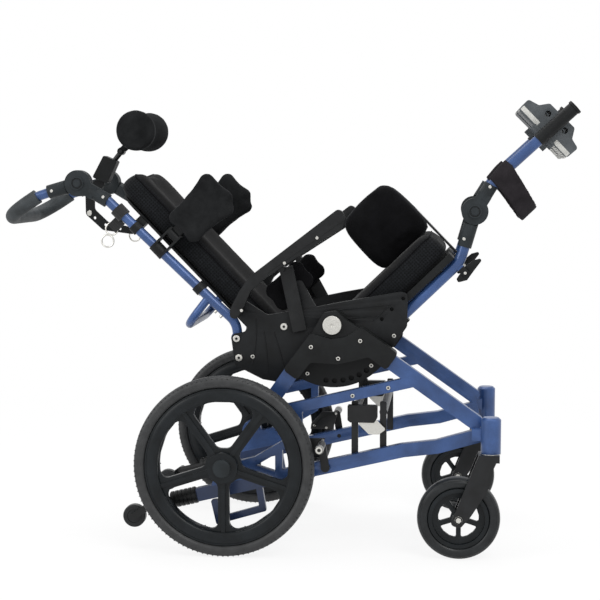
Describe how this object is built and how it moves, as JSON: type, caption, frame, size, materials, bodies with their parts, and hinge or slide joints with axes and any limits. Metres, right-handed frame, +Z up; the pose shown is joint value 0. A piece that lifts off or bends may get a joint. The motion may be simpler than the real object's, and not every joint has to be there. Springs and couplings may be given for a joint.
{
  "type": "special needs stroller",
  "caption": "Tilting special needs stroller with padded seat, reclining back, supports, leg rests and a blue wheeled frame",
  "frame": {"origin": "on the floor, under the middle of the footprint", "axes": "+X forward in travel, +Y to the rider's left, +Z up"},
  "size_m": [1.3251, 0.608, 1.0153],
  "materials": {
    "frame_blue": "satin metallic",
    "moulded_black": "fine grain",
    "black_steel": "powder coated",
    "bright_steel": "turned",
    "tyre_rubber": "matte, treaded",
    "caster_rubber": "smooth",
    "grip_rubber": "foam grip",
    "mesh_fabric": "spacer mesh",
    "velour_fabric": "velour",
    "webbing": "woven webbing"
  },
  "bodies": {
    "base_frame": {"side_frame_left": "frame_blue", "side_frame_right": "frame_blue", "rocker_covers": "moulded_black", "frame_bolts": "bright_steel", "rear_axles": "bright_steel", "cross_brace": "black_steel", "brace_latch": "black_steel", "tipping_levers": "frame_blue", "tipping_sleeves": "grip_rubber"},
    "seat": {"seat_side_plates": "moulded_black", "tilt_rockers": "moulded_black", "seat_pan": "moulded_black", "seat_cushion": "mesh_fabric", "leg_hanger_tubes": "frame_blue", "knee_housings": "moulded_black", "hip_guards": "velour_fabric", "seat_bolts": "bright_steel"},
    "pommel": {"pommel_pad": "velour_fabric", "pommel_bracket": "black_steel"},
    "leg_rests": {"knee_arms": "moulded_black", "shin_tubes": "frame_blue", "shin_sleeves": "moulded_black", "calf_strap": "webbing"},
    "back": {"back_frame": "frame_blue", "back_shell": "moulded_black", "back_cushion": "mesh_fabric", "handle_housings": "moulded_black", "headrest_clamp": "moulded_black", "cane_straps": "webbing"},
    "push_handle": {"handle_knuckles": "moulded_black", "handle_tube": "frame_blue", "handle_grip": "grip_rubber"},
    "headrest_slider": {"headrest_stem": "black_steel"},
    "headrest": {"headrest_pad": "velour_fabric"},
    "rear_wheel_left_body": {"rear_wheel_left": "moulded_black", "rear_tyre_left": "tyre_rubber"},
    "caster_left": {"caster_fork_left": "black_steel"},
    "caster_wheel_left": {"caster_hub_left": "moulded_black", "caster_tyre_left": "caster_rubber"},
    "anti_tip_left": {"anti_tip_arm_left": "black_steel"},
    "anti_tip_roller_left": {"anti_tip_wheel_left": "caster_rubber"},
    "wheel_lock_left_body": {"wheel_lock_left": "black_steel"},
    "footplate_left_body": {"footplate_left": "moulded_black"},
    "lateral_left": {"lateral_arm_left": "moulded_black", "lateral_pad_left": "velour_fabric"},
    "armrest_left_body": {"armrest_left": "moulded_black"},
    "latch_left": {"latch_lever_left": "moulded_black"},
    "rear_wheel_right_body": {"rear_wheel_right": "moulded_black", "rear_tyre_right": "tyre_rubber"},
    "caster_right": {"caster_fork_right": "black_steel"},
    "caster_wheel_right": {"caster_hub_right": "moulded_black", "caster_tyre_right": "caster_rubber"},
    "anti_tip_right": {"anti_tip_arm_right": "black_steel"},
    "anti_tip_roller_right": {"anti_tip_wheel_right": "caster_rubber"},
    "wheel_lock_right_body": {"wheel_lock_right": "black_steel"},
    "footplate_right_body": {"footplate_right": "moulded_black"},
    "lateral_right": {"lateral_arm_right": "moulded_black", "lateral_pad_right": "velour_fabric"},
    "armrest_right_body": {"armrest_right": "moulded_black"},
    "latch_right": {"latch_lever_right": "moulded_black"}
  },
  "joints": [
    {"name": "seat_tilt", "type": "hinge", "parent": "base_frame", "child": "seat", "pos_m": [0.119, 0, 0.514], "axis": [0, 1, 0], "range_deg": [0, 44]},
    {"name": "back_recline", "type": "hinge", "parent": "seat", "child": "back", "pos_m": [-0.10222, 0, 0.47734], "axis": [0, 1, 0], "range_deg": [-28, 0]},
    {"name": "handle_angle", "type": "hinge", "parent": "back", "child": "push_handle", "pos_m": [-0.47041, 0, 0.82924], "axis": [0, 1, 0], "range_deg": [-40, 60]},
    {"name": "headrest_reach", "type": "slide", "parent": "back", "child": "headrest_slider", "axis": [0.6276, 0, 0.7785], "range_m": [0, 0.025]},
    {"name": "headrest_nod", "type": "hinge", "parent": "headrest_slider", "child": "headrest", "pos_m": [-0.40248, 0, 0.90429], "axis": [0, 1, 0], "range_deg": [-12, 12]},
    {"name": "leg_elevation", "type": "hinge", "parent": "seat", "child": "leg_rests", "pos_m": [0.43431, 0, 0.76705], "axis": [0, 1, 0], "range_deg": [0, 60]},
    {"name": "pommel_slide", "type": "slide", "parent": "seat", "child": "pommel", "axis": [0.7193, 0, 0.6947], "range_m": [0, 0.05]},
    {"name": "rear_wheel_spin_left", "type": "hinge", "parent": "base_frame", "child": "rear_wheel_left_body", "pos_m": [-0.117, 0.27, 0.203], "axis": [0, 1, 0], "continuous": true},
    {"name": "caster_swivel_left", "type": "hinge", "parent": "base_frame", "child": "caster_left", "pos_m": [0.473, 0.238, 0.275], "axis": [0, 0, 1], "continuous": true},
    {"name": "caster_spin_left", "type": "hinge", "parent": "caster_left", "child": "caster_wheel_left", "pos_m": [0.4035, 0.238, 0.092], "axis": [0, 1, 0], "continuous": true},
    {"name": "anti_tip_slide_left", "type": "slide", "parent": "base_frame", "child": "anti_tip_left", "axis": [-0.9719, 0, -0.2355], "range_m": [-0.035, 0.04]},
    {"name": "anti_tip_spin_left", "type": "hinge", "parent": "anti_tip_left", "child": "anti_tip_roller_left", "pos_m": [-0.3345, 0.2, 0.0705], "axis": [0, 1, 0], "continuous": true},
    {"name": "wheel_lock_press_left", "type": "hinge", "parent": "base_frame", "child": "wheel_lock_left_body", "pos_m": [0.105, 0.211, 0.19292], "axis": [0, 1, 0], "range_deg": [-6, 0]},
    {"name": "footplate_flip_left", "type": "hinge", "parent": "leg_rests", "child": "footplate_left_body", "pos_m": [0.5796, 0.119, 0.931], "axis": [-0.6947, 0, 0.7193], "range_deg": [-90, 0]},
    {"name": "lateral_swing_left", "type": "hinge", "parent": "back", "child": "lateral_left", "pos_m": [-0.24955, 0.152, 0.71138], "axis": [-0.6947, 0, 0.7193], "range_deg": [0, 80]},
    {"name": "armrest_flip_left", "type": "hinge", "parent": "seat", "child": "armrest_left_body", "pos_m": [-0.09548, 0.19, 0.5432], "axis": [0, 1, 0], "range_deg": [-85, 0]},
    {"name": "latch_pull_left", "type": "hinge", "parent": "seat", "child": "latch_left", "pos_m": [0.4138, 0.14, 0.62908], "axis": [0, 1, 0], "range_deg": [0, 12]},
    {"name": "rear_wheel_spin_right", "type": "hinge", "parent": "base_frame", "child": "rear_wheel_right_body", "pos_m": [-0.117, -0.27, 0.203], "axis": [0, 1, 0], "continuous": true},
    {"name": "caster_swivel_right", "type": "hinge", "parent": "base_frame", "child": "caster_right", "pos_m": [0.473, -0.238, 0.275], "axis": [0, 0, 1], "continuous": true},
    {"name": "caster_spin_right", "type": "hinge", "parent": "caster_right", "child": "caster_wheel_right", "pos_m": [0.4035, -0.238, 0.092], "axis": [0, 1, 0], "continuous": true},
    {"name": "anti_tip_slide_right", "type": "slide", "parent": "base_frame", "child": "anti_tip_right", "axis": [-0.9719, 0, -0.2355], "range_m": [-0.035, 0.04]},
    {"name": "anti_tip_spin_right", "type": "hinge", "parent": "anti_tip_right", "child": "anti_tip_roller_right", "pos_m": [-0.3345, -0.2, 0.0705], "axis": [0, 1, 0], "continuous": true},
    {"name": "wheel_lock_press_right", "type": "hinge", "parent": "base_frame", "child": "wheel_lock_right_body", "pos_m": [0.105, -0.211, 0.19292], "axis": [0, 1, 0], "range_deg": [-6, 0]},
    {"name": "footplate_flip_right", "type": "hinge", "parent": "leg_rests", "child": "footplate_right_body", "pos_m": [0.5796, -0.119, 0.931], "axis": [-0.6947, 0, 0.7193], "range_deg": [0, 90]},
    {"name": "lateral_swing_right", "type": "hinge", "parent": "back", "child": "lateral_right", "pos_m": [-0.24955, -0.152, 0.71138], "axis": [-0.6947, 0, 0.7193], "range_deg": [-80, 0]},
    {"name": "armrest_flip_right", "type": "hinge", "parent": "seat", "child": "armrest_right_body", "pos_m": [-0.09548, -0.19, 0.5432], "axis": [0, 1, 0], "range_deg": [-85, 0]},
    {"name": "latch_pull_right", "type": "hinge", "parent": "seat", "child": "latch_right", "pos_m": [0.4138, -0.14, 0.62908], "axis": [0, 1, 0], "range_deg": [0, 12]}
  ]
}
